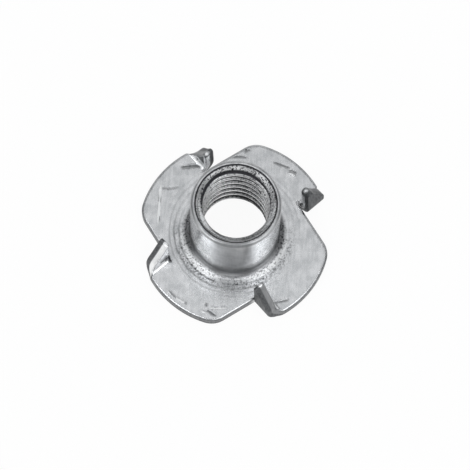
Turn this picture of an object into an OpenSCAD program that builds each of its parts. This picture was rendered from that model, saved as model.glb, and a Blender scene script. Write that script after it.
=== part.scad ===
// Four-prong drive-in tee nut, M10, pressed from one blank of sheet steel.
//
// The blank is a round disc. Its middle is drawn up into a barrel, which is tapped. Four cuts run in from the disc's
// edge, and the corner of sheet beside each cut is folded up past square, so that its old rim becomes the long edge
// of a driving prong. The nut stands on its flange: underside at z = 0, barrel and prongs pointing up.

/* [Thread] */
// Nominal thread size, across the roots of the thread
thread_d = 10; // [9:0.1:10.5]
// Bore across the crests of the thread
bore_d = 8.6; // [8:0.1:9]
// Height above the underside at which the bore reaches its full grip
thread_start = 2.3; // [1.8:0.1:5]

/* [Barrel] */
// Outside diameter of the barrel
barrel_d = 11.7; // [11.5:0.1:13]
// Height from the underside of the flange to the rim of the barrel
total_h = 13.3; // [9:0.1:20]
// Fillet between the barrel and the top of the flange
base_fillet = 0.9; // [0.3:0.1:1.5]
// Rounding of the outer edge of the rim
rim_round = 0.35; // [0.1:0.05:0.4]
// Diameter of the countersink where it breaks out at the rim
mouth_d = 10.6; // [9.6:0.1:10.8]
// Play of the bolt in the plain entry below the thread, on the diameter
entry_play = 0.1; // [0:0.05:0.5]
// Radius of the draw, where the underside turns up into the entry
draw_r = 0.95; // [0.4:0.05:1.2]

/* [Flange] */
// Diameter of the flange
flange_d = 25.5; // [24:0.1:30]
// Thickness of the sheet
sheet_t = 1.5; // [1:0.1:1.8]
// Rounding that blanking leaves on the flange's upper rim
rim_roll = 0.3; // [0.1:0.05:0.5]
// Rounding of the blunt corner beside each prong
lobe_round = 3; // [0.8:0.1:4]

/* [Prongs] */
// Number of prongs
prong_count = 4; // [3:1:4]
// Distance from the axis to the inner end of each cut
root_r = 9.35; // [8.6:0.05:10]
// Angle between the cut and a radius through its inner end
cut_angle = 84.5; // [80:0.5:92]
// Angle between the bend line and a radius through the inner end of the cut
bend_angle = 15; // [8:0.5:24]
// Inside radius of the bend
bend_r = 0.5; // [0.3:0.1:1]
// How far a prong leans in past square
prong_lean = 6; // [0:1:12]
// Angle that the fold opens between the cut and the prong's cut edge
edge_gap = 1.5; // [1:0.5:9]
// Angle that the prong's long edge swings in from the rim of the blank, about the top of the bend
edge_swing = 6; // [0:0.5:8]
// Radius of the prong's point
point_r = 0.5; // [0.2:0.1:1]
// How far the fold draws a prong's foot in from the flange's rim
foot_inset = 0.2; // [0.1:0.05:0.5]

/* [Hidden] */
$fn = 96;

flange_r = flange_d / 2;
barrel_r = barrel_d / 2;
bore_r = bore_d / 2;
mouth_r = mouth_d / 2;
entry_r = (thread_d + entry_play) / 2;
// How far one cutting shape runs past what it cuts
past = 1;
// How far a circle that rounds off a corner overlaps the edges it joins
hair = 0.001;
// How far the gap is cut back behind the bend line, where the prong's own flat foot, twice as long, fills it again
foot_lap = 0.1;
// Width of the cut between a prong's foot and the lobe beside it
cut_play = 0.05;
// Where in the sheet's thickness the bend neither stretches nor squeezes it, from the inside of the bend
neutral_layer = 0.4;

// Unit vector at an angle to the x axis
function heading(a) = [cos(a), sin(a)];
// The same vector, turned a quarter turn clockwise
function right_of(v) = [v[1], -v[0]];

// Centre of a circle of radius r that touches a line and the inside of a circle about the origin. The line leaves
// the point p along the unit vector v, and the circle lies on the side of it that the unit vector n points to.
function corner_centre(p, v, n, r, arc_r) =
    let (q = p + r * n, b = q * v, c = q * q - pow(arc_r - r, 2))
    q + (sqrt(b * b - c) - b) * v;

// The sharp corner that lies outside that circle, which comes off to leave it rounded: a kite, about the circle's
// centre, whose long diagonal runs out through the corner
module corner_waste(p, v, n, r, arc_r) {
    centre = corner_centre(p, v, n, r, arc_r);
    out = centre / norm(centre);
    difference() {
        polygon([
            centre, centre - 2 * r * n, centre + 2 * r * (out - n) / (1 - out * n), centre + 2 * r * out
        ]);
        translate(centre) circle(r + hair);
    }
}

// Half section of the nut before its cuts: flange, fillet and barrel, with the tapped bore, the countersunk mouth
// and the drawn entry taken out
module turned_section() {
    difference() {
        union() {
            square([flange_r - rim_roll, sheet_t]);
            square([flange_r, sheet_t - rim_roll]);
            translate([flange_r - rim_roll, sheet_t - rim_roll]) circle(rim_roll);
            square([barrel_r - rim_round, total_h]);
            square([barrel_r, total_h - rim_round]);
            translate([barrel_r - rim_round, total_h - rim_round]) circle(rim_round);
            difference() {
                square([barrel_r + base_fillet, sheet_t + base_fillet]);
                translate([barrel_r + base_fillet, sheet_t + base_fillet]) circle(base_fillet);
            }
        }
        bore_section();
    }
}

// Half section of everything that the bolt passes through, from the underside to the mouth
module bore_section() {
    lead_in = entry_r - bore_r;
    countersink = mouth_r - bore_r;
    polygon([
        [-past, -past], [entry_r, -past], [entry_r, thread_start - lead_in], [bore_r, thread_start],
        [bore_r, total_h - countersink], [mouth_r, total_h], [mouth_r, total_h + past], [-past, total_h + past]
    ]);
    difference() {
        translate([entry_r - past, -past]) square([draw_r + past, draw_r + past]);
        translate([entry_r + draw_r, draw_r]) circle(draw_r);
        translate([entry_r + draw_r, -past]) square([past, draw_r + past]);
    }
}

// Plan of the gap that one prong leaves in the flange, with the inner end of its cut on the x axis
module notch_plan() {
    root = [root_r, 0];
    cut = heading(-cut_angle);
    bend = heading(bend_angle);
    behind = root - foot_lap / cos(90 - cut_angle - bend_angle) * cut;
    polygon([behind, root + flange_r * cut, root + flange_r * (cut + bend), behind + flange_r * bend]);
    corner_waste(root, cut, right_of(cut), lobe_round, flange_r);
}

// Section of the folded sheet across the bend line, drawn with the bend line at the origin
module folded_section() {
    fold = 90 + prong_lean;
    outer_r = bend_r + sheet_t;
    translate([0, outer_r]) {
        translate([-2 * foot_lap, -outer_r]) square([2 * foot_lap, sheet_t]);
        intersection() {
            difference() {
                circle(outer_r);
                circle(bend_r);
            }
            polygon(concat([[0, 0]], [for (a = [0, fold / 2, fold]) 2 * outer_r * heading(a - 90)]));
        }
        rotate(fold) translate([0, -outer_r]) square([flange_r, sheet_t]);
    }
}

// Outline of a prong, seen square to its face: x runs out along the bend line and y runs up. Its long edge is the
// rim of the blank, so it is an arc of the flange's radius, raised by what the bend takes up. Above the bend the
// edge swings in.
module prong_outline() {
    raised = bend_r + sheet_t - PI / 2 * (bend_r + neutral_layer * sheet_t);
    blank_centre = [-root_r * cos(bend_angle), raised - root_r * sin(bend_angle)];
    rise = asin((bend_r + sheet_t - blank_centre[1]) / flange_r);
    swung_centre = blank_centre + flange_r * (heading(rise) - heading(rise + edge_swing));
    edge = heading(cut_angle + bend_angle - edge_gap);
    intersection() {
        translate(blank_centre) circle(flange_r);
        translate(swung_centre)
            difference() {
                circle(flange_r);
                corner_waste(-swung_centre, edge, right_of(edge), point_r, flange_r);
            }
        polygon([-past * edge, flange_r * edge, [flange_r, flange_r], [flange_r, -past]]);
    }
}

// One prong, on a bend line that leaves the inner end of its cut. Its foot keeps clear of the lobe across the cut.
module prong() {
    difference() {
        intersection() {
            translate([root_r, 0, 0])
                rotate(bend_angle)
                intersection() {
                    rotate([90, 0, -90])
                        mirror([0, 0, 1])
                        translate([0, 0, -past]) linear_extrude(past + flange_r) folded_section();
                    rotate([90, 0, 0]) translate([0, 0, -flange_r]) linear_extrude(2 * flange_r) prong_outline();
                }
            cylinder(r = flange_r - foot_inset, h = total_h);
        }
        translate([root_r, 0, -past])
            rotate(-cut_angle)
            translate([-past, -past]) cube([flange_r, past + cut_play, past + sheet_t + cut_play]);
    }
}

module tee_nut() {
    color("silver") {
        difference() {
            rotate_extrude() turned_section();
            for (i = [0 : prong_count - 1])
                rotate(i * 360 / prong_count)
                    translate([0, 0, -past]) linear_extrude(sheet_t + 2 * past) notch_plan();
        }
        for (i = [0 : prong_count - 1]) rotate(i * 360 / prong_count) prong();
    }
}

tee_nut();
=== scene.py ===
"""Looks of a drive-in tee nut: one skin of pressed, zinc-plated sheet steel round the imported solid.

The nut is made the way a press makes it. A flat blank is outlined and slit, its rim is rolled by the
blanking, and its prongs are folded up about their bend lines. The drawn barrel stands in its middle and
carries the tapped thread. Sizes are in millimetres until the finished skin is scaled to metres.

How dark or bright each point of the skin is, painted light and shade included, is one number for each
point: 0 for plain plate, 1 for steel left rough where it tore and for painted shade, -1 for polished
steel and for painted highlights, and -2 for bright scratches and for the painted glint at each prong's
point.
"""

from __future__ import annotations

import logging
import math
from dataclasses import asdict, dataclass
from enum import Enum
from typing import Any, Iterable, Mapping, Sequence

import bmesh
import bpy
import numpy as np
from mathutils import Matrix, Vector
from mathutils.geometry import delaunay_2d_cdt

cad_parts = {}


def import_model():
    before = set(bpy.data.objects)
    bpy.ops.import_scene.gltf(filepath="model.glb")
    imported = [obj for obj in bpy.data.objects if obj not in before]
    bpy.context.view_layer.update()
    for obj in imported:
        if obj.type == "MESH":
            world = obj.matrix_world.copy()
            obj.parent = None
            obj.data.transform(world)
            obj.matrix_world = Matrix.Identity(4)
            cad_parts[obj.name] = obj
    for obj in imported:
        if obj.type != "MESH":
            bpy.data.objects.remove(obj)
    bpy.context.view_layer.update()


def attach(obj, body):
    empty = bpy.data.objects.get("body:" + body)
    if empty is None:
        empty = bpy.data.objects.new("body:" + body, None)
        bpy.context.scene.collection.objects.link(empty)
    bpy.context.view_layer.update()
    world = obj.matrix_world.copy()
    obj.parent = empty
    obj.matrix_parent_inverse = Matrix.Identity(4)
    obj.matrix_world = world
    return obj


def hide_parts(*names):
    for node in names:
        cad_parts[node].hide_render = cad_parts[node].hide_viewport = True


LOG = logging.getLogger("tee_nut")
# One millimetre, in metres
MM = 0.001
# Points that are closer than this are one point
WELD = 0.0015
# How many points go once round the axis
AROUND = 240
# Where the front of the nut is, as an angle to the x axis in degrees
FRONT = -119.6
Colour = tuple[float, float, float, float]


class Side(Enum):
    """The two faces of the sheet. The top is the inside of every fold."""

    TOP = "top"
    UNDERSIDE = "underside"


def heading(degrees: float) -> np.ndarray:
    """Unit vector in the plan at an angle to the x axis."""
    turn = math.radians(degrees)
    return np.array([math.cos(turn), math.sin(turn)])


def right_of(vector: np.ndarray) -> np.ndarray:
    """The same plan vector, turned a quarter turn clockwise."""
    return np.array([vector[1], -vector[0]])


def angle_of(vector: np.ndarray) -> float:
    """Angle of a plan vector to the x axis, in degrees."""
    return math.degrees(math.atan2(vector[1], vector[0]))


def turned(points: np.ndarray, degrees: float) -> np.ndarray:
    """Plan points turned about the axis of the nut, anticlockwise seen from above."""
    cosine, sine = heading(degrees)
    return np.asarray(points) @ np.array([[cosine, sine], [-sine, cosine]])


def fade(value: np.ndarray, low: float, high: float) -> np.ndarray:
    """Smooth rise from 0 to 1 as a value goes from low to high."""
    share = np.clip((value - low) / (high - low), 0.0, 1.0)
    return share * share * (3.0 - 2.0 * share)


def unit_circle(count: int = AROUND) -> np.ndarray:
    """Points evenly round the unit circle, from the x axis."""
    angles = np.arange(count) * math.tau / count
    return np.stack([np.cos(angles), np.sin(angles)], 1)


def arc(centre: Sequence[float], radius: float, start: float, stop: float, step: float) -> np.ndarray:
    """Points and normals along an arc.

    Args:
        centre: Centre of the arc.
        radius: Its radius.
        start: Angle of its first point, in degrees.
        stop: Angle of its last point, in degrees.
        step: Longest spacing of the points.

    Returns:
        Rows of the two coordinates and of the unit normal away from the centre.
    """
    count = max(2, math.ceil(abs(math.radians(stop - start)) * radius / step))
    angles = np.radians(np.linspace(start, stop, count + 1))
    normal = np.stack([np.cos(angles), np.sin(angles)], 1)
    return np.hstack([np.asarray(centre) + radius * normal, normal])


def line(start: np.ndarray, stop: np.ndarray, normal: np.ndarray, step: float) -> np.ndarray:
    """Points and normals along a straight edge, without its ends.

    Args:
        start: One end.
        stop: The other end.
        normal: The unit normal.
        step: Longest spacing of the points.

    Returns:
        Rows of the two coordinates and of the normal.
    """
    count = max(1, math.ceil(float(np.linalg.norm(stop - start)) / step))
    share = np.linspace(0, 1, count + 1)[1:-1, None]
    points = start + share * (stop - start)
    return np.hstack([points, np.broadcast_to(normal, points.shape)])


class Skin:
    """The faces of one closed skin, gathered in millimetres and welded into a mesh in metres.

    Attributes:
        points: Rows of x, y and z, one array for each part that was added.
        sheared: How dark or bright each of those points is, painted light and shade included.
        faces: Indices into all the points.
    """

    def __init__(self) -> None:
        """Starts with no faces."""
        self.points: list[np.ndarray] = []
        self.sheared: list[np.ndarray] = []
        self.faces: list[tuple[int, ...]] = []

    def add(
        self, points: np.ndarray, faces: Iterable[Sequence[int]], sheared: float | np.ndarray = 0.0
    ) -> None:
        """Adds faces over their own points.

        Args:
            points: Rows of x, y and z.
            faces: Indices into those rows.
            sheared: How dull or bright the points are, one value for all or one for each.
        """
        count = sum(len(part) for part in self.points)
        self.faces.extend(tuple(index + count for index in face) for face in faces)
        self.points.append(points)
        self.sheared.append(np.broadcast_to(sheared, len(points)))

    def add_strip(self, rows: np.ndarray, sheared: float | np.ndarray = 0.0) -> None:
        """Adds a strip of quads that goes once round.

        Args:
            rows: Array of rows, columns and x, y, z.
            sheared: How dull or bright the points are, one value for all or one for each.
        """
        here = np.arange(rows[..., 0].size).reshape(rows.shape[:2])
        beside = np.roll(here, -1, axis=1)
        faces = np.stack([here[:-1], beside[:-1], beside[1:], here[1:]], -1).reshape(-1, 4).tolist()
        self.add(rows.reshape(-1, 3), faces, np.broadcast_to(sheared, here.shape).reshape(-1))

    def build(self, name: str) -> bpy.types.Object:
        """Welds the faces into one object.

        Args:
            name: Name of the object and of its mesh.

        Returns:
            The object, at the origin, with outward faces shaded smooth.
        """
        mesh = bpy.data.meshes.new(name)
        mesh.from_pydata((np.vstack(self.points) * MM).tolist(), [], self.faces)
        dullness_layer = mesh.attributes.new("sheared", "FLOAT", "POINT")
        dullness_layer.data.foreach_set("value", np.concatenate(self.sheared).astype(np.float32))
        work = bmesh.new()
        work.from_mesh(mesh)
        bmesh.ops.remove_doubles(work, verts=work.verts, dist=WELD * MM)
        bmesh.ops.dissolve_degenerate(work, dist=WELD * MM / 2, edges=work.edges)
        bmesh.ops.recalc_face_normals(work, faces=work.faces)
        loose = sum(not edge.is_manifold for edge in work.edges)
        LOG.info("%s: %d faces, %d open or forked edges", name, len(work.faces), loose)
        work.to_mesh(mesh)
        work.free()
        mesh.shade_smooth()
        skin = bpy.data.objects.new(name, mesh)
        bpy.context.scene.collection.objects.link(skin)
        return skin


@dataclass(frozen=True)
class Fold:
    """How one prong was folded out of the blank.

    Attributes:
        lean: How far the prong leans in past square, in degrees.
        edge: How far its cut edge leans towards the barrel, in degrees.
        point: Radius of its point.
        sway: How far its point is pushed along the bend line.
        crop: How far the rim of the blank was cut back over the prong.
        trimmed: Share of the prong's rise above which that is so.
        gloss: How the smooth half of its long edge is painted, with painted shade where positive and a
            painted highlight where negative.
        face: How its inside face is painted beyond the bend, with painted shade where positive and painted
            light where negative.
    """

    lean: float
    edge: float
    point: float
    sway: float
    crop: float
    trimmed: float = 0.0
    gloss: float = 0.5
    face: float = -0.3


@dataclass(frozen=True)
class Groove:
    """A shallow mark that the press left in the top of the flange.

    Attributes:
        path: Points of its centre line in the plan.
        width: Half its width.
        depth: Its depth, negative for a raised line.
        shade: How dull it is, negative for a bright scratch.
    """

    path: tuple[tuple[float, float], ...]
    width: float
    depth: float
    shade: float

    def legs(self) -> Iterable[tuple[np.ndarray, np.ndarray, float]]:
        """Goes along the path.

        Yields:
            The start, the span and the length of each straight leg.
        """
        path = np.array(self.path)
        for start, stop in zip(path[:-1], path[1:]):
            yield start, stop - start, float(np.linalg.norm(stop - start))


@dataclass(frozen=True)
class Outline:
    """The edge of the blank, anticlockwise.

    Attributes:
        plan: Rows of x and y.
        outward: Unit normals that point out of the sheet.
        smooth: How the edge's smooth upper band is painted at each point: painted shade on the rim, painted
            light beside the slits, and burnish with a painted highlight on the prongs' cut edges.
        torn: How its rough lower band looks: rough steel with painted shade, lighter with painted light
            beside the slits.
        tips: Plan point at the middle of each prong's point.
    """

    plan: np.ndarray
    outward: np.ndarray
    smooth: np.ndarray
    torn: np.ndarray
    tips: np.ndarray


@dataclass(frozen=True)
class Rim:
    """The section of the blank's edges: a wide roll where the punch went in, a burr where it came out.

    Attributes:
        roll: Radius of the roll.
        burr: Radius of the rounding below.
        slope: How far the edge between them draws in for each millimetre down.
        tear: Height below which the edge is torn.
        dull: How the smooth band above that looks on the rim: darkened with painted shade.
        land_steps: Rows of faces between the roll and the burr.
    """

    roll: float = 0.3
    burr: float = 0.07
    slope: float = 0.02
    tear: float = 0.75
    dull: float = 0.8
    land_steps: int = 8

    def profile(self, thickness: float) -> tuple[np.ndarray, np.ndarray, np.ndarray, np.ndarray]:
        """The section of the edge, from the top of the sheet to its underside.

        Args:
            thickness: Thickness of the sheet.

        Returns:
            How far each point lies inside the outline, its height, and how far it belongs to the smooth band
            and to the torn band below that.
        """
        shoulder = thickness - self.roll
        drawn = self.slope * (shoulder - self.burr)
        land = np.linspace(shoulder, self.burr, self.land_steps + 1)[1:-1]
        rows = np.vstack([
            arc((self.roll, shoulder), self.roll, 90, 180, 0.08)[:, :2],
            np.column_stack([self.slope * (shoulder - land), land]),
            arc((drawn + self.burr, self.burr), self.burr, 180, 270, 0.04)[:, :2],
        ])
        depth = thickness - rows[:, 1]
        smooth = fade(depth, 0.05 * self.roll, 0.25 * self.roll)
        torn = fade(self.tear - rows[:, 1], 0.0, 0.12)
        return rows[:, 0], rows[:, 1], smooth, torn


@dataclass(frozen=True)
class Blank:
    """The flat blank: a disc with a slit in front of each prong, which the press then folds up.

    Attributes:
        radius: Radius of the disc.
        thickness: Thickness of the sheet.
        root: Distance from the axis to the inner end of each slit.
        cut: Angle between a lobe's cut edge and a radius through the inner end of the slit, in degrees.
        lobe_round: Rounding of each lobe's blunt corner.
        slit: Radius of the slit's closed end.
        bend: Angle between each bend line and a radius through the inner end of the slit, in degrees.
        bend_radius: Inside radius of the fold.
        neutral: Where in the thickness the fold neither stretches nor squeezes the sheet.
        foot_radius: Radius about the axis that the fold draws a prong's foot in to.
        prong_width: Widest that a prong is along its bend line.
        prong_height: Distance past the bend line at which a prong has all of its sway.
        lanced: How the lobes' edges look beside the slits, where painted light makes them brighter than on
            the rim.
        lance: Distances from the slit's end between which they grow as dull as the rim.
        painted_bend_reach: Distance past the bend line at which the fold's painted light and shade are at
            full strength.
        bend_highlight: Distances between which the painted highlight on the inside of the bend ends.
        worn: Radius of the painted glint at each prong's point.
        folds: One fold for each prong, anticlockwise from the x axis.
        grooves: The marks in the top of the flange.
        rim: The section of the edges.
        step: Spacing of the points along the outline.
        fine: Spacing of the points round the barrel and in the marks.
        fine_radius: Radius of the stretch round the barrel that has that spacing.
        coarse: Spacing of the points in the underside.
        cell: Closest that two points inside a face may be.
    """

    radius: float = 12.74
    thickness: float = 1.5
    root: float = 9.35
    cut: float = 84.5
    lobe_round: float = 3.0
    slit: float = 0.03
    bend: float = 15.0
    bend_radius: float = 0.5
    neutral: float = 0.4
    foot_radius: float = 12.6
    prong_width: float = 6.0
    prong_height: float = 7.0
    lanced: float = -0.3
    lance: tuple[float, float] = (1.2, 2.7)
    painted_bend_reach: float = 1.5
    bend_highlight: tuple[float, float] = (1.9, 2.4)
    worn: float = 0.27
    # Each prong's fold has its own painted light and shade on its long edge and its inside face.
    folds: tuple[Fold, ...] = (
        Fold(lean=15.0, edge=3.5, point=0.5, sway=1.0, crop=0.7, trimmed=0.4, gloss=0.9),
        Fold(lean=-3.0, edge=3.0, point=0.3, sway=0.9, crop=1.1, gloss=0.75, face=1.0),
        Fold(lean=-3.0, edge=9.5, point=0.3, sway=0.3, crop=1.1, gloss=-1.0),
        Fold(lean=3.0, edge=6.3, point=0.3, sway=-0.1, crop=0.7, gloss=0.6),
    )
    grooves: tuple[Groove, ...] = (
        Groove(((-5.8, 10.3), (-8.7, 5.2)), 0.11, 0.0, -2.4),
        Groove(((-9.4, 4.2), (-9.1, 1.6)), 0.07, 0.02, -0.5),
        Groove(((-6.13, 9.9), (-5.03, 9.13), (-3.71, 8.8)), 0.08, 0.03, 0.4),
        Groove(((4.0, 9.6), (5.37, 9.16), (6.24, 8.5)), 0.10, 0.04, 0.8),
        Groove(((10.3, 4.5), (10.7, 4.3), (11.1, 3.7)), 0.11, 0.06, 0.9),
        Groove(((10.0, 4.2), (10.4, 3.9), (10.8, 3.3)), 0.11, -0.04, -0.9),
        Groove(((8.9, 6.6), (9.9, 5.5), (10.7, 4.6)), 0.12, 0.03, 0.9),
        Groove(((5.93, 9.99), (7.07, 9.28)), 0.08, 0.04, 0.8),
        Groove(((6.79, 10.21), (6.28, 9.19)), 0.08, 0.04, 0.8),
        Groove(((6.2, 10.5), (7.2, 10.1)), 0.10, -0.03, -1.0),
        Groove(((-7.95, -8.0), (-7.3, -9.33)), 0.12, 0.06, 1.0),
        Groove(((-7.71, -7.95), (-5.44, -9.05)), 0.08, -0.03, -1.0),
        Groove(((-7.64, -7.1), (-7.88, -7.69)), 0.08, 0.05, 1.0),
        Groove(((0.12, -10.85), (1.24, -11.24), (2.43, -11.52)), 0.11, 0.05, 0.5),
        Groove(((-2.5, 11.25), (-1.24, 10.84), (0.3, 10.2)), 0.16, 0.08, 1.0),
        Groove(((-11.6, -3.2), (-10.9, -4.9), (-9.8, -6.5)), 0.14, -0.03, -0.8),
        Groove(((-8.9, -7.7), (-8.1, -8.6)), 0.11, -0.03, -0.8),
    )
    rim: Rim = Rim()
    step: float = 0.2
    fine: float = 0.16
    fine_radius: float = 10.2
    coarse: float = 0.8
    cell: float = 0.07

    @property
    def pitch(self) -> float:
        """Angle from one prong to the next, in degrees."""
        return 360.0 / len(self.folds)

    @property
    def neutral_radius(self) -> float:
        """Radius at which the fold neither stretches nor squeezes the sheet."""
        return self.bend_radius + self.neutral * self.thickness

    @property
    def slit_end(self) -> np.ndarray:
        """Centre of the slit's closed end, in the plan of a prong whose slit starts on the x axis."""
        return np.array([self.root, 0.0]) - self.slit * right_of(heading(-self.cut))

    @property
    def axes(self) -> np.ndarray:
        """Unit vectors along that prong's bend line and square to it, away from the flange."""
        return np.array([heading(self.bend), right_of(heading(self.bend))])

    def corner_centre(
        self, start: np.ndarray, along: np.ndarray, inside: np.ndarray, radius: float, crop: float = 0.0
    ) -> np.ndarray:
        """Centre of a circle that touches a line and the inside of the blank's rim.

        Args:
            start: A point of the line.
            along: Unit vector along the line.
            inside: Unit vector square to the line, towards the circle.
            radius: Radius of the circle.
            crop: How far the rim is cut back.

        Returns:
            The centre, on the line's far side of the start.
        """
        base = start + radius * inside
        half = float(base @ along)
        rest = float(base @ base) - (self.radius - crop - radius) ** 2
        return base + (math.sqrt(half * half - rest) - half) * along

    def outline(self) -> Outline:
        """The blank's whole edge."""
        quarters = [self.quarter(index, fold) for index, fold in enumerate(self.folds)]
        return Outline(*(np.concatenate(values) for values in zip(*quarters)))

    def quarter(self, index: int, fold: Fold) -> tuple[np.ndarray, ...]:
        """The edge from one lobe's blunt corner round the slit and the prong to the next blunt corner.

        Args:
            index: The prong.
            fold: Its fold.

        Returns:
            The arrays of an Outline, with one tip.
        """
        end = self.slit_end
        cut = heading(-self.cut)
        lobe_side = right_of(cut)
        away = self.axes[1]
        prong_side = heading(self.bend - fold.edge)
        corner = self.corner_centre(np.array([self.root, 0.0]), cut, lobe_side, self.lobe_round)
        start = end + self.slit * prong_side
        tip = self.corner_centre(start, right_of(prong_side), prong_side, fold.point, fold.crop)

        blunt = arc(corner, self.lobe_round, angle_of(corner), angle_of(-lobe_side), 0.3)
        lobe_edge = line(blunt[-1, :2], end + self.slit * lobe_side, -lobe_side, self.step)
        slit_round = arc(end, self.slit, angle_of(lobe_side), angle_of(prong_side) - 360.0, 0.05)
        slit_round[:, 2:] *= -1
        cut_edge = line(start, tip - fold.point * prong_side, -prong_side, self.step)
        point = arc(tip, fold.point, angle_of(-prong_side), angle_of(tip), 0.1)
        rim = arc((0.0, 0.0), self.radius, angle_of(tip), angle_of(corner) + self.pitch, self.step)
        rise = (rim[:, :2] - end) @ away / ((point[-1, :2] - end) @ away)
        rim[:, :2] -= (fold.crop * fade(rise, fold.trimmed, 1.0))[:, None] * rim[:, 2:]
        rows = np.vstack([blunt, lobe_edge, slit_round, cut_edge, point, rim[1:-1]])

        lobe = len(blunt) + len(lobe_edge) + len(slit_round)
        prong = slice(lobe, lobe + len(cut_edge))
        # The rim's smooth band is darkened with painted shade, and each prong's long edge takes the painted
        # light and shade of its fold.
        smooth = self.rim.dull + (fold.gloss - self.rim.dull) * fade((rows[:, :2] - end) @ away, 0.0, 1.0)
        torn = np.ones(len(rows))
        gone = np.linalg.norm(rows[:lobe, :2] - end, axis=1)
        # Beside the slits the edges get painted light.
        torn[:lobe] = self.lanced + (1 - self.lanced) * fade(gone, *self.lance)
        smooth[:lobe] = torn[:lobe] * self.rim.dull
        # The smooth band of each prong's cut edge is polished: burnish, with a painted highlight in it.
        smooth[prong] = -1.0
        middle = point[[len(point) // 2], :2]
        plan, outward, tips = (turned(xy, index * self.pitch) for xy in (rows[:, :2], rows[:, 2:], middle))
        return plan, outward, smooth, torn, tips

    def in_prong(self, plan: np.ndarray, index: int) -> tuple[np.ndarray, np.ndarray, np.ndarray]:
        """Places plan points against one prong's bend line.

        Args:
            plan: Rows of x and y in the flat blank.
            index: The prong.

        Returns:
            Which points belong to the folded prong, and how far each lies along the bend line and past it.
        """
        along, past = self.axes @ (turned(plan, -index * self.pitch) - self.slit_end).T
        middle = math.tan(math.radians((self.cut + self.bend + self.folds[index].edge - 90) / 2))
        within = (past > 1e-9) & (along > -past * middle - 1e-6) & (along < self.prong_width)
        return within, along, past

    def placed(self, along: np.ndarray, past: np.ndarray, index: int) -> np.ndarray:
        """Plan points at distances along and past one prong's bend line."""
        return turned(self.slit_end + np.column_stack([along, past]) @ self.axes, index * self.pitch)

    def drawn_in(self, along: np.ndarray, past: np.ndarray, reach: np.ndarray) -> np.ndarray:
        """Squeezes a prong's foot along its bend line, so that its outer corner stays inside the rim.

        Args:
            along: Distance along the bend line.
            past: Distance past it in the flat blank.
            reach: Distance of the folded outer face in front of the bend line.

        Returns:
            The squeezed distances along the bend line.
        """
        narrow, least = 0.3, 0.01
        back, side = self.axes @ self.slit_end
        flat = np.sqrt(np.maximum(self.radius**2 - (side + past) ** 2, least)) - back
        rim = self.radius - (self.radius - self.foot_radius) * fade(past, 0.0, 0.5)
        folded = np.sqrt(np.maximum(rim**2 - (side + reach) ** 2, least)) - back
        share = np.where(flat > narrow, np.minimum(flat, folded) / np.maximum(flat, narrow), 1.0)
        return np.where(along > 0, along * share, along)

    def folded(self, points: np.ndarray) -> np.ndarray:
        """Folds the prongs of the flat blank up about their bend lines.

        Args:
            points: Rows of x, y and z in the flat blank.

        Returns:
            The rows after the press has closed.
        """
        result = points.copy()
        outer = self.bend_radius + self.thickness
        for index, fold in enumerate(self.folds):
            inside, along, past = self.in_prong(points[:, :2], index)
            along, past = along[inside], past[inside]
            turn = math.radians(90.0 + fold.lean)
            angle = np.minimum(past / self.neutral_radius, turn)
            straight = np.maximum(past - turn * self.neutral_radius, 0.0)
            radius = outer - points[inside, 2]
            square = past > self.neutral_radius * math.pi / 2
            reach = np.maximum(outer * np.sin(angle), outer * square) + straight * math.cos(turn)
            along = self.drawn_in(along, past, reach) + fold.sway * fade(past, 0.0, self.prong_height)
            out = radius * np.sin(angle) + straight * math.cos(turn)
            result[inside, :2] = self.placed(along, out, index)
            result[inside, 2] = outer - radius * np.cos(angle) + straight * math.sin(turn)
        return result

    def painted_bend_light(self, plan: np.ndarray, side: Side) -> np.ndarray:
        """How bright or dark the folds are painted on one face of the sheet.

        Args:
            plan: Rows of x and y in the flat blank.
            side: The face. On the top the inside of the bends gets a painted highlight and each prong's
                inside face its own painted tone; on the underside the outside of the bends and the prongs'
                outer faces get painted shade.

        Returns:
            One value for each point.
        """
        painted_light_and_marks = np.zeros(len(plan))
        for index, fold in enumerate(self.folds):
            within, _, past = self.in_prong(plan, index)
            painted_light_and_marks[within] = fade(past[within], 0.0, self.painted_bend_reach)
            if side is Side.TOP:
                painted_light_and_marks[within] *= (1 + fold.face) * fade(past[within], *self.bend_highlight) - 1
        return painted_light_and_marks

    def paint_glints(self, sheared: np.ndarray, points: np.ndarray, tips: np.ndarray) -> np.ndarray:
        """Paints a glint on a spot at the point of each prong.

        Args:
            sheared: How dull or bright the points are.
            points: Rows of x, y and z after the fold.
            tips: Plan point at the middle of each prong's point.

        Returns:
            The same, but -2 at the prongs' points.
        """
        level = np.full(len(tips), 0.6 * self.thickness)
        spots = self.folded(np.column_stack([tips, level]))
        worn = sum(np.exp(-((np.linalg.norm(points - spot, axis=-1) / self.worn) ** 4)) for spot in spots)
        return sheared * (1 - worn) - 2 * worn

    def marks(self, plan: np.ndarray, border: np.ndarray) -> tuple[np.ndarray, np.ndarray]:
        """The press's marks in the top of the flange.

        Args:
            plan: Rows of x and y.
            border: The outline of the face, at which the marks have no depth.

        Returns:
            How far the marks lower each point, and how far they dull it.
        """
        depth = np.zeros(len(plan))
        shade = np.zeros(len(plan))
        for groove in self.grooves:
            near = np.full(len(plan), np.inf)
            share = np.zeros(len(plan))
            total, done = sum(length for _, _, length in groove.legs()), 0.0
            for start, span, length in groove.legs():
                t = np.clip(((plan - start) @ span) / (length * length), 0, 1)
                distance = np.linalg.norm(plan - start - t[:, None] * span, axis=1)
                share = np.where(distance < near, (done + t * length) / total, share)
                near = np.minimum(distance, near)
                done += length
            reach = fade(share, 0.0, 0.2) * fade(1 - share, 0.0, 0.2)
            reach *= np.exp(-((near / groove.width) ** 2))
            depth += groove.depth * reach
            shade += groove.shade * reach
        gap = np.full(len(plan), np.inf)
        for x, y in border:
            gap = np.minimum(gap, np.hypot(plan[:, 0] - x, plan[:, 1] - y))
        return depth * fade(gap, 0.0, 0.15), shade

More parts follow.
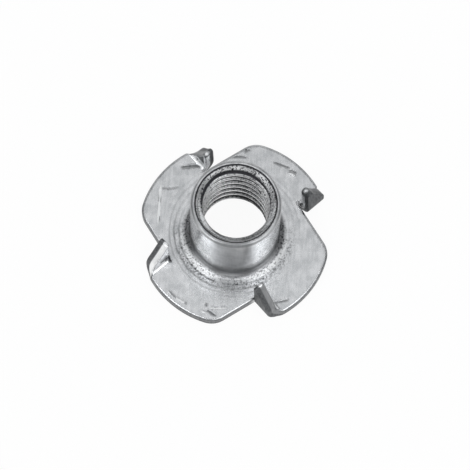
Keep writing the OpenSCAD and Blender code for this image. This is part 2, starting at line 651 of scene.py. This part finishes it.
    def filling(self, hole: float, side: Side) -> np.ndarray:
        """Points inside the outline that carry the folds and the marks.

        Args:
            hole: Radius of the hole in the face's middle.
            side: The face. The top is finer and has the marks.

        Returns:
            Plan points, the most important first.
        """
        wanted: list[np.ndarray] = []
        marked = self.grooves if side is Side.TOP else ()
        for groove in marked:
            for start, span, length in groove.legs():
                across = np.outer((-1.6, -0.8, 0.0, 0.8, 1.6), groove.width * right_of(span / length))
                for share in np.linspace(0, 1, max(2, math.ceil(length / self.fine))):
                    wanted.extend(start + share * span + across)
        for index, fold in enumerate(self.folds):
            bend = math.radians(90.0 + fold.lean) * self.neutral_radius
            along = np.arange(-0.6, 4.2, 0.19)
            for past in [*np.linspace(0, bend, 13), *np.arange(bend + 0.3, 7.5, 0.3)]:
                wanted.extend(self.placed(along, np.full(len(along), past), index))
        inner, outer, columns = self.coarse, self.coarse, AROUND // 3
        if side is Side.TOP:
            inner, outer, columns = self.fine, 0.3, AROUND
        inner_rings = np.arange(hole + self.fine, self.fine_radius, inner)
        for radius in [*inner_rings, *np.arange(self.fine_radius, self.radius, outer)]:
            wanted.extend(radius * unit_circle(columns))
        return np.array(wanted)

    def thinned(self, wanted: np.ndarray, border: np.ndarray, hole: float) -> np.ndarray:
        """Drops the points that are outside the border or too close to others.

        Args:
            wanted: Candidate points, the most important first.
            border: The outline that they have to be inside.
            hole: Radius of the hole.

        Returns:
            The points that stay.
        """
        inside = np.zeros(len(wanted), bool)
        for (x0, y0), (x1, y1) in zip(border, np.roll(border, -1, axis=0)):
            if y0 != y1:
                crosses = (y0 > wanted[:, 1]) != (y1 > wanted[:, 1])
                inside ^= crosses & (wanted[:, 0] < x0 + (wanted[:, 1] - y0) * (x1 - x0) / (y1 - y0))
        inside &= np.hypot(wanted[:, 0], wanted[:, 1]) > hole + 0.09
        taken: dict[tuple[int, int], list[np.ndarray]] = {}
        kept: list[np.ndarray] = []
        for number, point in enumerate(np.vstack([border, wanted[inside]])):
            column, row = int(point[0] // self.cell), int(point[1] // self.cell)
            near = (
                other
                for i in (column - 1, column, column + 1)
                for j in (row - 1, row, row + 1)
                for other in taken.get((i, j), ())
            )
            if number < len(border) or all(math.dist(point, other) >= self.cell for other in near):
                taken.setdefault((column, row), []).append(point)
                kept.append(point)
        return np.array(kept[len(border) :])

    def face(self, border: np.ndarray, hole: float, side: Side) -> tuple[np.ndarray, list[tuple[int, ...]]]:
        """Triangulates the top or the underside of the blank.

        Args:
            border: Plan points of its border.
            hole: Radius of the hole in its middle.
            side: The face.

        Returns:
            Plan points and triangles.
        """
        fill = self.thinned(self.filling(hole, side), border, hole)
        count = len(border)
        edges = [(i, (i + 1) % count) for i in range(count)]
        edges += [(count + i, count + (i + 1) % AROUND) for i in range(AROUND)]
        plan = np.vstack([border, hole * unit_circle(), fill])
        points, _, faces, _, _, _ = delaunay_2d_cdt([Vector(p) for p in plan], edges, [], 1, 1e-7)
        coordinates = np.array([(p.x, p.y) for p in points])
        over_hole = np.hypot(coordinates[:, 0], coordinates[:, 1]) < hole + 1e-4
        return coordinates, [tuple(face) for face in faces if not all(over_hole[i] for i in face)]

    def press(self, skin: Skin, holes: Mapping[Side, float]) -> None:
        """Adds the folded blank to the skin, open where the barrel stands.

        Args:
            skin: The skin that takes its faces.
            holes: Radius of the hole in each face.
        """
        edge = self.outline()
        inset, height, smooth, torn = self.rim.profile(self.thickness)
        rows = np.stack([
            np.column_stack([edge.plan - gap * edge.outward, np.full(len(edge.plan), z)])
            for gap, z in zip(inset, height)
        ])
        sheared = smooth[:, None] * edge.smooth + torn[:, None] * (edge.torn - edge.smooth)
        for row, side in zip((0, -1), Side):
            sheared[row] = self.painted_bend_light(rows[row, :, :2], side)
        pressed = self.folded(rows.reshape(-1, 3)).reshape(rows.shape)
        skin.add_strip(pressed, self.paint_glints(sheared, pressed, edge.tips))
        for row, side in zip((0, -1), Side):
            border = rows[row, :, :2]
            plan, triangles = self.face(border, holes[side], side)
            level = np.full(len(plan), rows[row, 0, 2])
            painted_light_and_marks = self.painted_bend_light(plan, side)
            if side is Side.TOP:
                depth, shade = self.marks(plan, border)
                level -= depth
                painted_light_and_marks += shade
            pressed = self.folded(np.column_stack([plan, level]))
            skin.add(pressed, triangles, self.paint_glints(painted_light_and_marks, pressed, edge.tips))
            LOG.info("%s of the flange: %d triangles", side.value, len(triangles))


@dataclass(frozen=True)
class Thread:
    """The tapped bore, from the plain entry at the flange to the countersink at the rim.

    Attributes:
        pitch: Climb of the thread in one turn.
        crest: Radius of the bore across the crests.
        root: Radius at the bottom of the grooves.
        crest_flat: Width of the flat on each crest.
        flank: Angle between each flank and a plane square to the axis, in degrees.
        entry: Radius of the plain entry.
        entry_top: Height at which the entry starts to close in to the thread.
        mouth: Radius of the countersink where it breaks out at the rim.
        top: Height of the rim.
        low: Height at which the wound wall begins.
        high: Height at which it ends.
        start: How far into a pitch the thread is at the foot of the first row, as a share.
        rows_per_pitch: Rows of faces in one pitch.
    """

    pitch: float = 1.5
    crest: float = 4.3
    root: float = 5.0
    crest_flat: float = 0.5
    flank: float = 30.0
    entry: float = 5.05
    entry_top: float = 1.55
    mouth: float = 5.3
    top: float = 13.3
    low: float = 1.2
    high: float = 13.1
    start: float = 0.75
    rows_per_pitch: int = 16

    def inputs(self, finish: bpy.types.Material) -> dict[str, Any]:
        """The inputs of the node tree by name, with their values."""
        sizes = {name.replace("_", " ").capitalize(): value for name, value in asdict(self).items()}
        return {**sizes, "Columns": AROUND, "Finish": finish}

    def tree(self, inputs: Mapping[str, Any]) -> bpy.types.GeometryNodeTree:
        """Builds the node tree that winds the thread round the bore.

        Args:
            inputs: The values that its inputs are going to have, by name.

        Returns:
            The tree.
        """
        tree = bpy.data.node_groups.new("tapped_bore", "GeometryNodeTree")
        kinds = {float: "NodeSocketFloat", int: "NodeSocketInt", bpy.types.Material: "NodeSocketMaterial"}
        for name, value in inputs.items():
            tree.interface.new_socket(name=name, in_out="INPUT", socket_type=kinds[type(value)])
        tree.interface.new_socket(name="Geometry", in_out="OUTPUT", socket_type="NodeSocketGeometry")
        graph = Graph(tree)
        size = {socket.name: Wire(graph, socket) for socket in graph.node("NodeGroupInput").outputs}
        low, high, pitch, pitch_rows = (size[name] for name in ("Low", "High", "Pitch", "Rows per pitch"))
        rows = graph.math("CEIL", ((high - low) / pitch + 1) * pitch_rows)
        grid = {"Size X": 1.0, "Size Y": 1.0, "Vertices X": size["Columns"] + 1, "Vertices Y": rows + 1}
        wall = graph.wire("GeometryNodeMeshGrid", "Mesh", inputs=grid)
        turn, up, _ = graph.parts(graph.wire("GeometryNodeInputPosition"))
        turn = turn + 0.5
        climb = (up + 0.5) * rows / pitch_rows
        level = (low + (climb - 1 + turn) * pitch).at_least(low).at_most(high)
        phase = graph.math("FRACT", climb + size["Start"])
        off_crest = graph.math("ABSOLUTE", phase - 0.5) * pitch - size["Crest flat"] / 2
        flank = off_crest.at_least(0.0) / graph.math("TANGENT", graph.math("RADIANS", size["Flank"]))
        ridge = (size["Crest"] + flank).at_most(size["Root"])
        mouth = size["Mouth"] - (size["Top"] - level)
        entry = size["Entry"] - (level - size["Entry top"]).at_least(0.0)
        radius = ridge.at_least(mouth).at_least(entry)
        angle = turn * math.tau
        wound = {0: radius * graph.math("COSINE", angle), 1: radius * graph.math("SINE", angle), 2: level}
        steps = (
            ("GeometryNodeSetPosition", {"Position": graph.wire("ShaderNodeCombineXYZ", inputs=wound)}),
            ("GeometryNodeMergeByDistance", {"Distance": WELD}),
            ("GeometryNodeRealizeInstances", {}),
            ("GeometryNodeSetMaterial", {"Material": size["Finish"]}),
        )
        for kind, others in steps:
            wall = graph.wire(kind, inputs={"Geometry": wall, **others})
        graph.node("NodeGroupOutput", inputs={"Geometry": wall})
        return tree

    def tap(self, skin: Skin, finish: bpy.types.Material) -> None:
        """Winds the thread and adds it to the skin.

        Args:
            skin: The skin that takes its faces.
            finish: The finish that the tree sets.
        """
        inputs = self.inputs(finish)
        tree = self.tree(inputs)
        carrier = bpy.data.objects.new("tapped_bore", bpy.data.meshes.new("tapped_bore"))
        bpy.context.scene.collection.objects.link(carrier)
        modifier = carrier.modifiers.new("tapped_bore", "NODES")
        modifier.node_group = tree
        for item in tree.interface.items_tree:
            if item.in_out == "INPUT":
                modifier[item.identifier] = inputs[item.name]
        evaluated = carrier.evaluated_get(bpy.context.evaluated_depsgraph_get())
        baked = bpy.data.meshes.new_from_object(evaluated)
        carrier.modifiers.remove(modifier)
        points = np.empty(len(baked.vertices) * 3)
        baked.vertices.foreach_get("co", points)
        skin.add(points.reshape(-1, 3), [tuple(face.vertices) for face in baked.polygons])
        LOG.info("thread: %d faces", len(baked.polygons))
        bpy.data.objects.remove(carrier)
        bpy.data.meshes.remove(baked)
        bpy.data.node_groups.remove(tree)


@dataclass(frozen=True)
class Barrel:
    """The drawn barrel: its outside, its rim and the draw under the flange.

    Attributes:
        radius: Outside radius.
        fillet: Radius of the fillet at its foot.
        rim_round: Rounding of the outer edge of the rim.
        land_round: Rounding where the countersink breaks out at the rim.
        draw: Radius of the draw, where the underside turns up into the entry.
        wall_step: Longest spacing of the rows up its outside.
    """

    radius: float = 5.85
    fillet: float = 0.9
    rim_round: float = 0.35
    land_round: float = 0.05
    draw: float = 0.95
    wall_step: float = 0.82

    def turn(self, section: np.ndarray) -> np.ndarray:
        """Rows of points that turn a section, given as radii and heights, round the axis."""
        ring = unit_circle()
        return np.stack([np.column_stack([radius * ring, np.full(AROUND, z)]) for radius, z in section])

    def draw_up(self, skin: Skin, blank: Blank, thread: Thread) -> None:
        """Adds the barrel to the skin.

        Args:
            skin: The skin that takes its faces.
            blank: The sheet that it is drawn from.
            thread: The bore that it has to meet.
        """
        top, land = thread.top, self.land_round
        foot = blank.thickness + self.fillet
        shoulder = top - self.rim_round
        fillet = arc((self.radius + self.fillet, foot), self.fillet, 270, 180, 0.12)
        out = np.array([1.0, 0.0])
        wall = line(self.radius * out + (0, foot), self.radius * out + (0, shoulder), out, self.wall_step)
        rounding = arc((self.radius - self.rim_round, shoulder), self.rim_round, 0, 90, 0.1)
        mouth = [
            (thread.mouth + land, top),
            (thread.mouth, top - 0.3 * land),
            (thread.mouth - land, top - land),
            (thread.mouth - (top - thread.high), thread.high),
        ]
        skin.add_strip(self.turn(np.vstack([fillet[:, :2], wall[:, :2], rounding[:, :2], mouth])))
        drawn = arc((thread.entry + self.draw, self.draw), self.draw, 180, 270, 0.15)
        skin.add_strip(self.turn(np.vstack([(thread.entry, thread.low), drawn[:, :2]])))


class Wire:
    """An output socket whose arithmetic adds Math nodes to its tree."""

    def __init__(self, graph: Graph, socket: bpy.types.NodeSocket) -> None:
        """Wraps an output socket of a graph."""
        self.graph = graph
        self.socket = socket

    def __add__(self, other: Wire | float) -> Wire:
        """Sum."""
        return self.graph.math("ADD", self, other)

    def __radd__(self, other: float) -> Wire:
        """Sum, reflected."""
        return self.graph.math("ADD", other, self)

    def __sub__(self, other: Wire | float) -> Wire:
        """Difference."""
        return self.graph.math("SUBTRACT", self, other)

    def __rsub__(self, other: float) -> Wire:
        """Difference, reflected."""
        return self.graph.math("SUBTRACT", other, self)

    def __mul__(self, other: Wire | float) -> Wire:
        """Product."""
        return self.graph.math("MULTIPLY", self, other)

    def __rmul__(self, other: float) -> Wire:
        """Product, reflected."""
        return self.graph.math("MULTIPLY", other, self)

    def __truediv__(self, other: Wire | float) -> Wire:
        """Quotient."""
        return self.graph.math("DIVIDE", self, other)

    def __rtruediv__(self, other: float) -> Wire:
        """Quotient, reflected."""
        return self.graph.math("DIVIDE", other, self)

    def __neg__(self) -> Wire:
        """The value with its sign changed."""
        return self * -1.0

    def at_least(self, other: Wire | float) -> Wire:
        """The larger of two values."""
        return self.graph.math("MAXIMUM", self, other)

    def at_most(self, other: Wire | float) -> Wire:
        """The smaller of two values."""
        return self.graph.math("MINIMUM", self, other)

    def past(self, low: float, high: float) -> Wire:
        """Smooth rise from 0 to 1 as the value goes from low to high."""
        inputs = {"Value": self, "From Min": low, "From Max": high, "To Min": 0.0, "To Max": 1.0}
        return self.graph.wire("ShaderNodeMapRange", 0, {"interpolation_type": "SMOOTHSTEP"}, inputs)

    def before(self, low: float, high: float) -> Wire:
        """Smooth fall from 1 to 0 as the value goes from low to high."""
        return 1 - self.past(low, high)

    def within(self, low: float, full: float, last: float, high: float) -> Wire:
        """Smooth rise from 0 to 1 from low to full, and back from last to high."""
        return self.past(low, full) * self.before(last, high)


class Graph:
    """Adds nodes and links to one shader or geometry tree."""

    def __init__(self, tree: bpy.types.NodeTree) -> None:
        """Wraps a tree and empties it."""
        self.tree = tree
        tree.nodes.clear()

    def node(
        self,
        kind: str,
        settings: Mapping[str, Any] | None = None,
        inputs: Mapping[str | int, Any] | None = None,
    ) -> bpy.types.Node:
        """Adds a node.

        Args:
            kind: The node's type.
            settings: Its properties, set first.
            inputs: Values or wires for its sockets, by name or number.

        Returns:
            The node.
        """
        node = self.tree.nodes.new(kind)
        for name, value in (settings or {}).items():
            setattr(node, name, value)
        for name, value in (inputs or {}).items():
            if isinstance(value, Wire):
                self.tree.links.new(value.socket, node.inputs[name])
            else:
                node.inputs[name].default_value = value
        return node

    def wire(self, kind: str, output: str | int = 0, settings: Any = None, inputs: Any = None) -> Wire:
        """Adds a node, as node() does, and takes one of its outputs by name or number."""
        return Wire(self, self.node(kind, settings, inputs).outputs[output])

    def math(self, operation: str, *values: Wire | float) -> Wire:
        """The result of a Math node."""
        return self.wire("ShaderNodeMath", 0, {"operation": operation}, dict(enumerate(values)))

    def parts(self, vector: Wire) -> tuple[Wire, ...]:
        """The x, y and z of a vector."""
        node = self.node("ShaderNodeSeparateXYZ", inputs={0: vector})
        return tuple(Wire(self, part) for part in node.outputs)

    def noise(self, place: Wire, scale: float, detail: float = 2.0, roughness: float = 0.5) -> Wire:
        """A noise texture's value at a place."""
        inputs = {"Vector": place, "Scale": scale, "Detail": detail, "Roughness": roughness}
        return self.wire("ShaderNodeTexNoise", inputs=inputs)

    def drawn_out(self, place: Wire, degrees: float, scale: Sequence[float]) -> Wire:
        """A noise texture that is drawn out along one axis.

        Args:
            place: Where its value is wanted.
            degrees: Turn of the texture about z.
            scale: Its scale along each axis.

        Returns:
            The value.
        """
        turn = (0.0, 0.0, math.radians(degrees))
        lying = self.wire("ShaderNodeMapping", inputs={"Vector": place, "Rotation": turn})
        return self.noise(self.wire("ShaderNodeMapping", inputs={"Vector": lying, "Scale": scale}), 1.0)

    def blend(self, share: Wire, first: Wire | Sequence[float], second: Wire | Sequence[float]) -> Wire:
        """Mixes two colours."""
        return self.wire("ShaderNodeMix", 2, {"data_type": "RGBA"}, {0: share, 6: first, 7: second})


class Zones:
    """Where on the nut a point lies. Lengths are in millimetres, and every zone is a mask from 0 to 1.

    Attributes:
        graph: The graph that takes the nodes.
        place: The point.
        x: Its distance from the axis along x.
        y: Its distance from the axis along y.
        height: Its height above the underside.
        radius: Its distance from the axis.
        front: The front half of the nut.
        low: The flange and the foot of the barrel, without the underside.
        flat: The top of the flange.
        halo: A wide ring round the foot of the barrel.
        painted_highlight_ring: The ring of the flange outside the fillet, where a highlight is painted,
            weaker right in front.
        beside: The fillet on both sides of the barrel.
        foot: The foot of the barrel.
        middle: The middle of the barrel's front.
        rounding: The outer edge of the rim.
        cone: The countersink.
        lip: Its upper edge.
        throat: Its lower edge, where the thread ends.
        bore: The thread and the plain entry.
        groove: The grooves of the thread.
        deep: The lower end of the bore.
        gloom: The side of the bore that lies in shade.
    """

    def __init__(self, graph: Graph) -> None:
        """Adds the masks.

        Args:
            graph: The graph that takes the nodes.
        """
        scale = {"Vector": graph.wire("ShaderNodeTexCoord", "Object"), "Scale": 1 / MM}
        self.graph = graph
        self.place = graph.wire("ShaderNodeVectorMath", 0, {"operation": "SCALE"}, scale)
        self.x, self.y, self.height = graph.parts(self.place)
        self.radius = graph.math("SQRT", self.x * self.x + self.y * self.y)
        radius, height, forward = self.radius, self.height, self.towards(FRONT)
        crown = height.past(12.2, 12.4)
        self.front = forward.past(-3.0, 5.0)
        self.low = height.within(0.4, 1.0, 1.9, 2.6)
        self.flat = radius.past(6.2, 6.8) * self.low
        self.halo = radius.within(6.0, 6.4, 7.4, 8.6) * self.low
        self.painted_highlight_ring = radius.within(6.5, 6.7, 7.05, 7.25) * self.low * (1 - forward.past(6.3, 6.7) * 0.75)
        self.beside = forward.within(-3.5, -1.0, 1.0, 4.2) * radius.within(5.8, 6.0, 6.6, 7.1) * self.low
        self.foot = height.before(2.6, 5.4) * radius.before(6.4, 6.7)
        self.middle = forward.past(4.9, 5.6) * radius.before(6.0, 6.2)
        self.rounding = radius.past(5.4, 5.55) * height.past(12.7, 12.9)
        self.cone = radius.before(5.26, 5.34) * crown
        self.lip = radius.within(5.08, 5.18, 5.3, 5.36) * crown
        self.bore = radius.before(5.05, 5.2) * (1 - crown) * height.past(1.0, 2.0)
        self.throat = height.within(12.08, 12.14, 12.3, 12.4) * self.bore
        self.groove = radius.past(4.41, 4.53) * self.bore
        self.deep = height.before(1.5, 3.2) * self.bore
        self.gloom = self.towards(38.0).past(3.5, 4.3) * self.bore

    def towards(self, azimuth: float) -> Wire:
        """How far the point lies in a direction, given by its angle to the x axis in degrees."""
        along = heading(azimuth)
        return self.x * float(along[0]) + self.y * float(along[1])

    def dips(self, cloud: Wire) -> Wire:
        """Dull arcs in the flange on one side of the barrel, shifted by a noise."""
        arcs = self.graph.math("SINE", self.radius * 9.6 + 5.2 + cloud * 3.0).at_least(0.0)
        return arcs * self.radius.within(7.1, 7.3, 8.2, 9.0) * self.low * self.towards(205.4).past(1.0, 6.0)

    def ripple(self, cloud: Wire) -> Wire:
        """Faint waves round the foot of the barrel, shifted by a noise."""
        waves = self.graph.math("SINE", self.radius * 9.0 + cloud * 2.0)
        return waves * self.radius.within(6.8, 7.4, 8.8, 9.6) * self.flat


@dataclass(frozen=True)
class ZincPlate:
    """Bright zinc on pressed mild steel.

    Attributes:
        bright: Colour of the plate on the crests of its grain.
        dim: Colour of the plate between them.
        torn: Colour of cut edges left rough by shearing, and of painted shade on the edges' smooth bands, on
            the outside of the folds, on the prongs' outer faces and on one prong's inside face.
        polish: Colour of the turned countersink, the bore, burnished edges and bright scratches, and of
            painted highlights on the inside of the folds, at the prongs' points and in a ring round the foot
            of the barrel.
        grime: Colour of pits, and of painted shade at the bottom of the thread, in its grooves, at the ends
            of the countersink and round the foot of the barrel.
        roughness: How far the plate scatters a reflection.
        torn_roughness: How far a cut edge does.
        relief: Height of the relief in the bump, in metres.
    """

    bright: Colour = (0.65, 0.655, 0.665, 1.0)
    dim: Colour = (0.46, 0.47, 0.48, 1.0)
    torn: Colour = (0.085, 0.088, 0.092, 1.0)
    polish: Colour = (0.93, 0.935, 0.94, 1.0)
    grime: Colour = (0.05, 0.05, 0.055, 1.0)
    roughness: float = 0.22
    torn_roughness: float = 0.5
    relief: float = 0.00002

    def material(self) -> bpy.types.Material:
        """Builds the finish, with painted light and shade in its colours.

        Returns:
            The material.
        """
        material = bpy.data.materials.new("zinc_plated_steel")
        material.use_nodes = True
        graph = Graph(material.node_tree)
        zones = Zones(graph)
        place, front, bore, cone = zones.place, zones.front, zones.bore, zones.cone

        grain = graph.noise(place, 2.6, 3.0, 0.6)
        cloud = graph.noise(place, 0.7)
        pits = graph.noise(place, 4.4, 1.0).past(0.5, 0.66)
        streak = graph.drawn_out(place, 29.6, (4.2, 0.42, 0.42))
        furrow = graph.drawn_out(place, 0.0, (5.2, 5.2, 0.5))
        turning = graph.drawn_out(place, 0.0, (0.3, 0.3, 9.0))

        # The skin's number carries painted light: painted shade where it is positive, painted highlights
        # where it is negative, and -2 at the painted glints on the prongs' points and at bright scratches.
        attribute = {"attribute_name": "sheared", "attribute_type": "GEOMETRY"}
        sheared = graph.wire("ShaderNodeAttribute", "Fac", attribute)
        worn = (-sheared).past(1.1, 1.7)
        pressed = (-sheared).at_least(0.0)
        smudge = graph.noise(place, 0.82).past(0.54, 0.62) * (1 - worn)

        # Steel left rough by shearing, smudges and the painted shade that the skin's number carries take the
        # dark colour.
        dull = sheared.at_least(0.0) * (0.7 + furrow * 0.4) + pressed * smudge * 0.7
        # Painted shade on the rim's outer edge, and a painted dark reflection down the middle of the
        # barrel's front.
        dull = dull + zones.rounding * 0.3 + zones.middle * 0.3 + zones.dips(cloud) * 0.4
        dull = dull + zones.halo * pits * front * 0.65
        # Painted highlights: the polished colour goes on the inside of the folds, at the prongs' points and
        # on a ring round the foot of the barrel in front, besides burnish, bright scratches, the turned
        # countersink and the bore.
        shine_and_painted_highlight = pressed * (1 - smudge) + cone * turning.past(0.35, 0.6)
        shine_and_painted_highlight = shine_and_painted_highlight + bore * (0.95 - pits * 0.5) + zones.painted_highlight_ring * (1 - pits * 0.7) * front
        # Painted shade: the darkest colour goes in the thread's grooves, on the countersink's edges, at the
        # lower end of the bore, on its shaded side, on the back of the countersink and round the foot of the
        # barrel, besides random pits.
        pits_and_painted_shade = zones.groove * 0.98 + (zones.lip + zones.throat) * 0.95
        pits_and_painted_shade = pits_and_painted_shade + zones.deep * 0.8 + bore * pits * 0.5 + zones.gloom * 0.3
        pits_and_painted_shade = pits_and_painted_shade + cone * ((1 - front) * (0.15 + pits * 0.6) + pits * 0.3)
        pits_and_painted_shade = pits_and_painted_shade + zones.foot * (0.15 + cloud * 0.3) + zones.beside * (0.35 + pits * 0.5)

        shade = (grain * 0.3 + cloud * 0.45 + streak * 0.25).past(0.35, 0.65)
        colour = graph.blend(shade, self.dim, self.bright)
        colour = graph.blend(dull.at_most(1.0), colour, self.torn)
        colour = graph.blend(shine_and_painted_highlight.at_most(1.0), colour, self.polish)
        colour = graph.blend(pits_and_painted_shade.at_most(1.0), colour, self.grime)
        rough = self.roughness + dull * (self.torn_roughness - self.roughness)
        rough = rough + (grain + shine_and_painted_highlight) * 0.1 + pits_and_painted_shade * 0.2 + worn * 0.4
        height = grain * 0.25 + cloud * 0.4 + streak * zones.flat * 0.5 + furrow * dull * 1.2
        height = height + zones.ripple(cloud) * 0.35 + turning * (cone + bore) * 2.0
        relief = {"Strength": 0.5, "Distance": self.relief, "Height": height}
        bump = graph.wire("ShaderNodeBump", inputs=relief)
        plate = {"Base Color": colour, "Metallic": 1.0, "Roughness": rough, "Normal": bump}
        surface = graph.wire("ShaderNodeBsdfPrincipled", inputs=plate)
        graph.node("ShaderNodeOutputMaterial", inputs={"Surface": surface})
        return material


@dataclass(frozen=True)
class PaleFloor:
    """White paper that glows a little where it is seen, and that can be looked through from below.

    Attributes:
        paper: Colour of the paper.
        white: Colour of its glow.
        glow: Share of the glow in what the camera and the reflections show.
    """

    paper: Colour = (0.95, 0.95, 0.95, 1.0)
    white: Colour = (1.0, 1.0, 1.0, 1.0)
    glow: float = 0.94

    def material(self) -> bpy.types.Material:
        """Builds the finish.

        Returns:
            The material.
        """
        material = bpy.data.materials.new("pale_floor")
        material.use_nodes = True
        graph = Graph(material.node_tree)
        rays = graph.node("ShaderNodeLightPath").outputs
        kinds = ("Camera", "Glossy", "Transmission")
        camera, glossy, through = (Wire(graph, rays[f"Is {kind} Ray"]) for kind in kinds)
        paper = graph.wire("ShaderNodeBsdfDiffuse", inputs={"Color": self.paper})
        white = graph.wire("ShaderNodeEmission", inputs={"Color": self.white, "Strength": 1.0})
        seen = camera + glossy + through
        above = graph.wire("ShaderNodeMixShader", inputs={0: seen * self.glow, 1: paper, 2: white})
        behind = graph.wire("ShaderNodeNewGeometry", "Backfacing")
        nothing = graph.wire("ShaderNodeBsdfTransparent")
        surface = graph.wire("ShaderNodeMixShader", inputs={0: behind, 1: above, 2: nothing})
        graph.node("ShaderNodeOutputMaterial", inputs={"Surface": surface})
        return material


@dataclass(frozen=True)
class Ring:
    """A ring of soft bright patches in the room's light.

    Attributes:
        elevation: Its height above the floor, in degrees.
        spread: Half the width of each patch, in degrees.
        patches: Brightness of each patch, where 1 is white, by the angle between its direction and the
            camera's, in degrees. A patch beside the camera's direction has its twin on the other side.
    """

    elevation: float
    spread: float
    patches: Mapping[float, float]


@dataclass(frozen=True)
class Studio:
    """Camera, floor and surroundings.

    Attributes:
        azimuth: Direction in which the camera stands, from the x axis, in degrees.
        elevation: Its height above the flange's plane, in degrees.
        distance: Its distance from the origin, in metres.
        roll: Turn of the picture, clockwise, in degrees.
        picture_px: Width of the picture that the next two sizes refer to, in pixels.
        focal_px: Focal length.
        centre_px: Where the origin shows.
        sensor: Width of the camera's sensor, in millimetres.
        clip: Nearest and farthest that the camera sees, in metres.
        floor_size: Side of the floor, in metres.
        floor_gap: How far it lies below the nut, in metres.
        tint: Colour of the light.
        rings: The rings of soft light, from the ceiling down.
    """

    azimuth: float = FRONT
    elevation: float = 72.28
    distance: float = 0.306
    roll: float = 3.42
    picture_px: float = 470.0
    focal_px: float = 2304.8
    centre_px: tuple[float, float] = (234.19, 234.93)
    sensor: float = 36.0
    clip: tuple[float, float] = (0.01, 10.0)
    floor_size: float = 3.0
    floor_gap: float = 0.00002
    tint: tuple[float, float, float] = (0.98, 0.99, 1.0)
    rings: tuple[Ring, ...] = (
        Ring(77, 5, {160: 1.0}),
        Ring(72, 3, {0: 0.7}),
        Ring(69, 5, {50: 5.4, 75: 5.4, 105: 1.0, 130: 0.5, 180: 1.0}),
        Ring(43, 9, {15: 0.5, 50: 3.0, 135: 0.5, 165: 0.5}),
        Ring(29, 9, {50: 0.5, 75: 0.5, 155: 0.5, 180: 0.5}),
        Ring(17, 10, {0: 1.4, 45: 0.8, 80: 0.4, 125: 0.6, 170: 0.6}),
        Ring(4, 9, {0: 0.7, 70: 0.7, 110: 0.8, 135: 2.0, 180: 1.0}),
    )

    def direction(self, azimuth: float, elevation: float) -> Vector:
        """Unit vector from the nut to a place in the studio."""
        plan = heading(azimuth) * math.cos(math.radians(elevation))
        return Vector((*plan, math.sin(math.radians(elevation))))

    def camera(self) -> None:
        """Sets up the camera."""
        data = bpy.data.cameras.new("camera")
        data.sensor_width = self.sensor
        data.sensor_fit = "HORIZONTAL"
        data.lens = self.focal_px * self.sensor / self.picture_px
        data.clip_start, data.clip_end = self.clip
        data.shift_x = 0.5 - self.centre_px[0] / self.picture_px
        data.shift_y = self.centre_px[1] / self.picture_px - 0.5
        camera = bpy.data.objects.new("camera", data)
        back = self.direction(self.azimuth, self.elevation)
        right = self.direction(self.azimuth + 90.0, 0.0)
        upright = Matrix((right, back.cross(right), back)).transposed().to_4x4()
        roll = Matrix.Rotation(math.radians(self.roll), 4, "Z")
        camera.matrix_world = Matrix.Translation(back * self.distance) @ upright @ roll
        bpy.context.scene.collection.objects.link(camera)
        bpy.context.scene.camera = camera

    def floor(self) -> None:
        """Lays the floor."""
        half, level = self.floor_size / 2, -self.floor_gap
        mesh = bpy.data.meshes.new("floor")
        plan = ((-half, -half), (half, -half), (half, half), (-half, half))
        mesh.from_pydata([(x, y, level) for x, y in plan], [], [(0, 1, 2, 3)])
        floor = bpy.data.objects.new("floor", mesh)
        bpy.context.scene.collection.objects.link(floor)
        mesh.materials.append(PaleFloor().material())

    def surroundings(self) -> None:
        """Fills the room with soft light. What the camera sees of the room itself is white."""
        world = bpy.data.worlds.new("studio")
        world.use_nodes = True
        graph = Graph(world.node_tree)
        ray = graph.wire("ShaderNodeTexCoord", "Generated")
        light: Wire | float = 0.0
        for ring in self.rings:
            sharpness = 1.0 / math.radians(ring.spread) ** 2
            for turn, strength in ring.patches.items():
                for azimuth in sorted({turn, -turn % 360}):
                    towards = self.direction(self.azimuth + azimuth, ring.elevation)
                    pair = {0: ray, 1: towards}
                    aim = graph.wire("ShaderNodeVectorMath", "Value", {"operation": "DOT_PRODUCT"}, pair)
                    light = light + graph.math("EXPONENT", (aim - 1.0) * sharpness) * strength
        seen = graph.wire("ShaderNodeLightPath", "Is Camera Ray")
        light = light + seen * (1 - light)
        room = graph.wire("ShaderNodeBackground", inputs={"Color": (*self.tint, 1.0), "Strength": light})
        graph.node("ShaderNodeOutputWorld", inputs={"Surface": room})
        bpy.context.scene.world = world


@dataclass(frozen=True)
class TeeNut:
    """The whole nut, in one skin.

    Attributes:
        blank: The sheet, with its prongs.
        barrel: The drawn barrel.
        thread: The tapped bore.
        finish: The plating.
    """

    blank: Blank = Blank()
    barrel: Barrel = Barrel()
    thread: Thread = Thread()
    finish: ZincPlate = ZincPlate()

    def make(self) -> bpy.types.Object:
        """Builds the nut and dresses it.

        Returns:
            The finished piece, riding on the frame.
        """
        skin = Skin()
        material = self.finish.material()
        fillet_foot = self.barrel.radius + self.barrel.fillet
        draw_foot = self.thread.entry + self.barrel.draw
        self.blank.press(skin, {Side.TOP: fillet_foot, Side.UNDERSIDE: draw_foot})
        self.barrel.draw_up(skin, self.blank, self.thread)
        self.thread.tap(skin, material)
        nut = skin.build("tee_nut_skin")
        nut.data.materials.append(material)
        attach(nut, "root")
        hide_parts("tee_nut")
        LOG.info("%s: %d vertices", nut.name, len(nut.data.vertices))
        return nut


def main() -> None:
    """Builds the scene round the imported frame."""
    logging.basicConfig(level=logging.INFO, format="%(name)s: %(message)s")
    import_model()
    bpy.context.scene.view_settings.view_transform = "Standard"
    studio = Studio()
    studio.camera()
    studio.floor()
    studio.surroundings()
    TeeNut().make()


if __name__ == "__main__":
    main()
